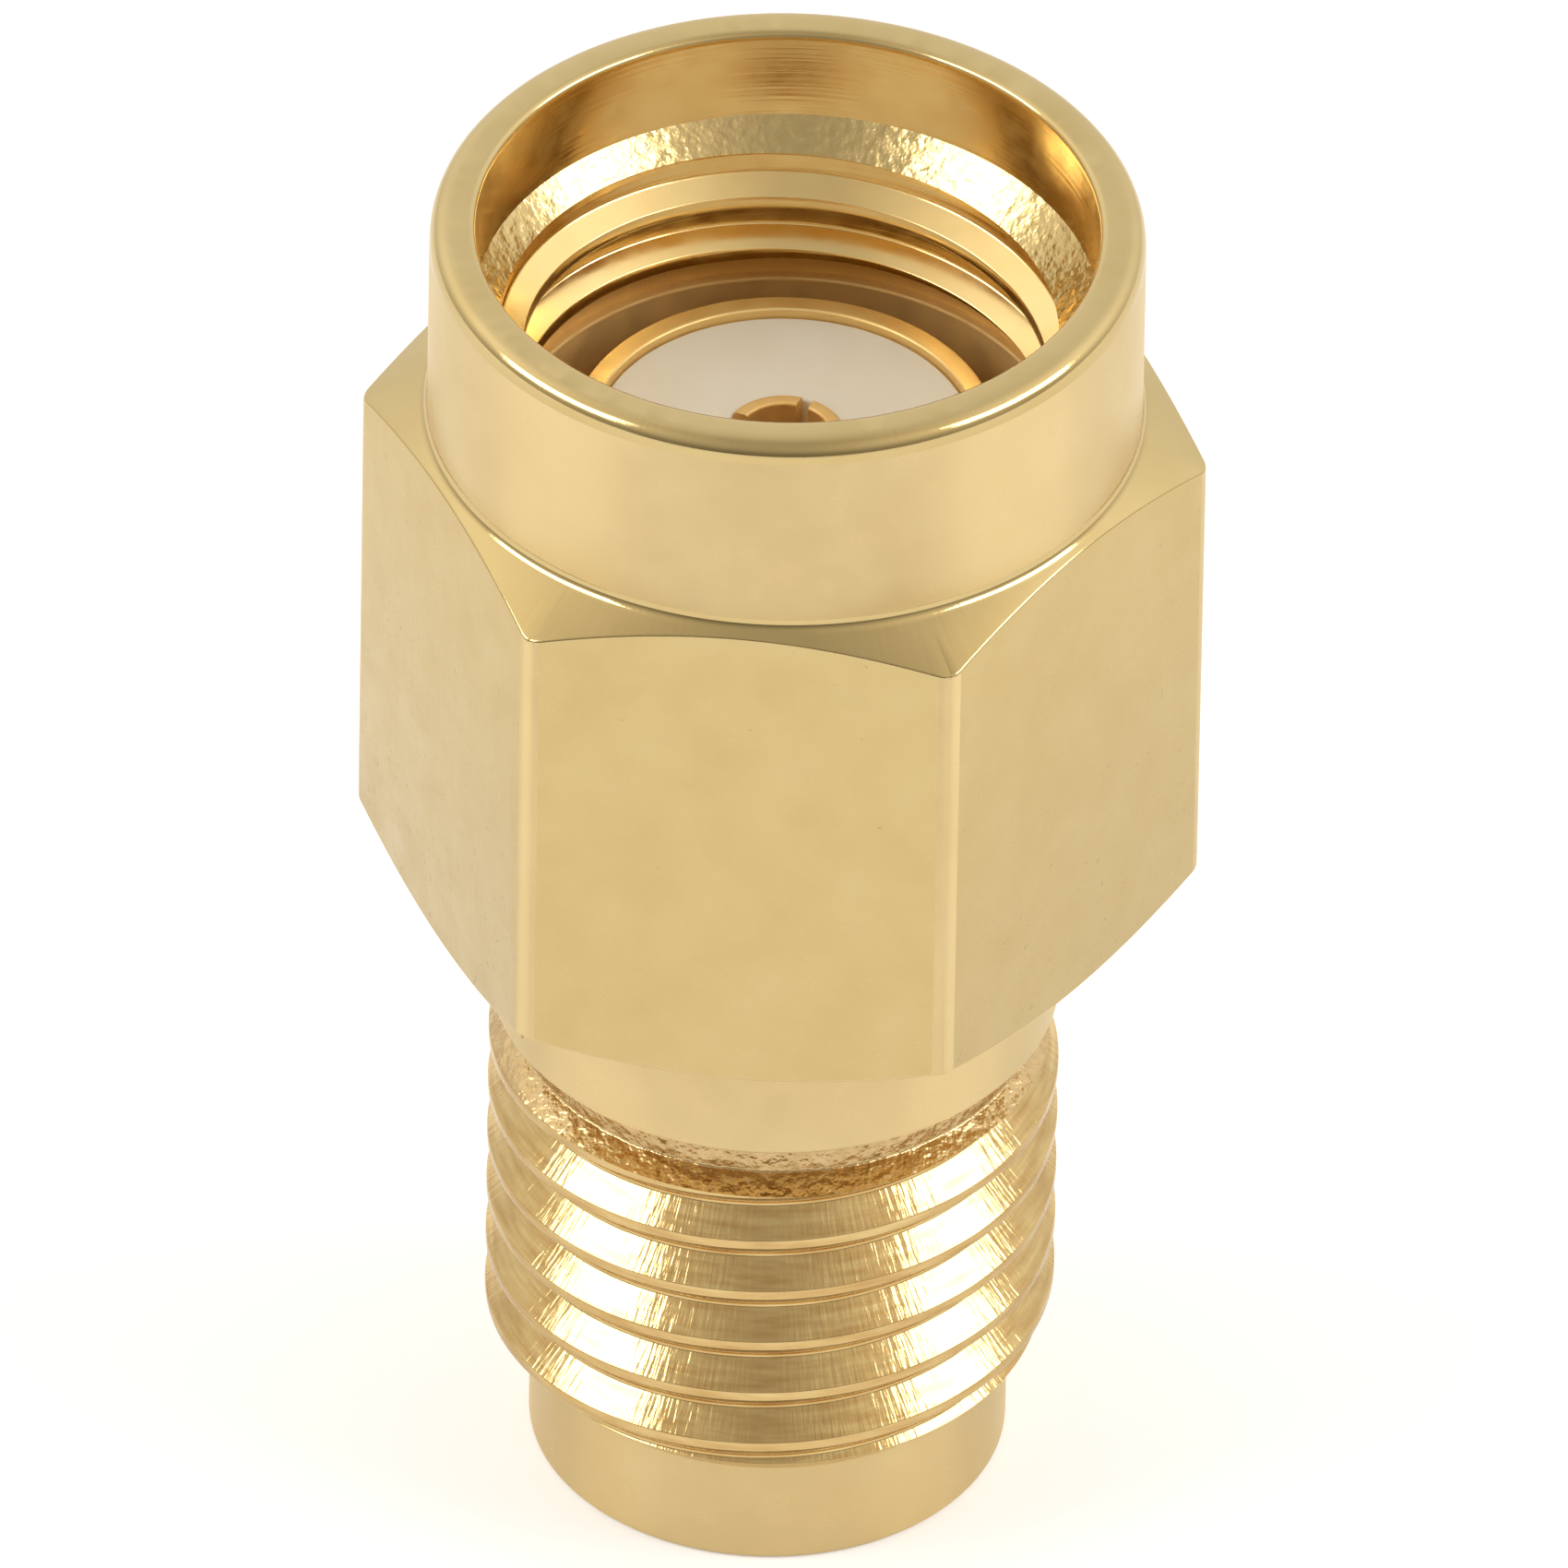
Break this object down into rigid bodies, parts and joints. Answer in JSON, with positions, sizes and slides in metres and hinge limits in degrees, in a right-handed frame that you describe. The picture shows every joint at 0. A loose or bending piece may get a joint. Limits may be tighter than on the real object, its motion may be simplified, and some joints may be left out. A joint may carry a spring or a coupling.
{
  "type": "coax adapter",
  "caption": "Straight coax adapter: a small threaded jack at one end and a free-turning hexagon coupling nut over a sleeved plug at the other, on one axis.",
  "frame": {"origin": "centre of the jack's end face, which the part stands on", "axes": "+Z along the common axis from the jack end to the plug end; two of the nut's flats face +Y and -Y at rest"},
  "size_m": [0.0092, 0.008, 0.0164],
  "materials": {
    "gold_body": "bright gold plate on turned brass",
    "gold_nut": "bright gold plate on turned and milled brass",
    "gold_contact": "gold plate on copper alloy",
    "spring_bronze": "plain spring bronze",
    "white_insulator": "smooth white fluoropolymer"
  },
  "bodies": {
    "adapter_body": {"body": "gold_body", "insulator": "white_insulator", "centre_contact": "gold_contact"},
    "ring": {"retaining_ring": "spring_bronze"},
    "nut": {"coupling_nut": "gold_nut"}
  },
  "joints": [
    {"name": "nut_float", "type": "slide", "parent": "adapter_body", "child": "ring", "axis": [0, 0, 1], "range_m": [0, 0.0002]},
    {"name": "nut_spin", "type": "hinge", "parent": "ring", "child": "nut", "pos_m": [0, 0, 0.0096], "axis": [0, 0, 1], "continuous": true}
  ]
}
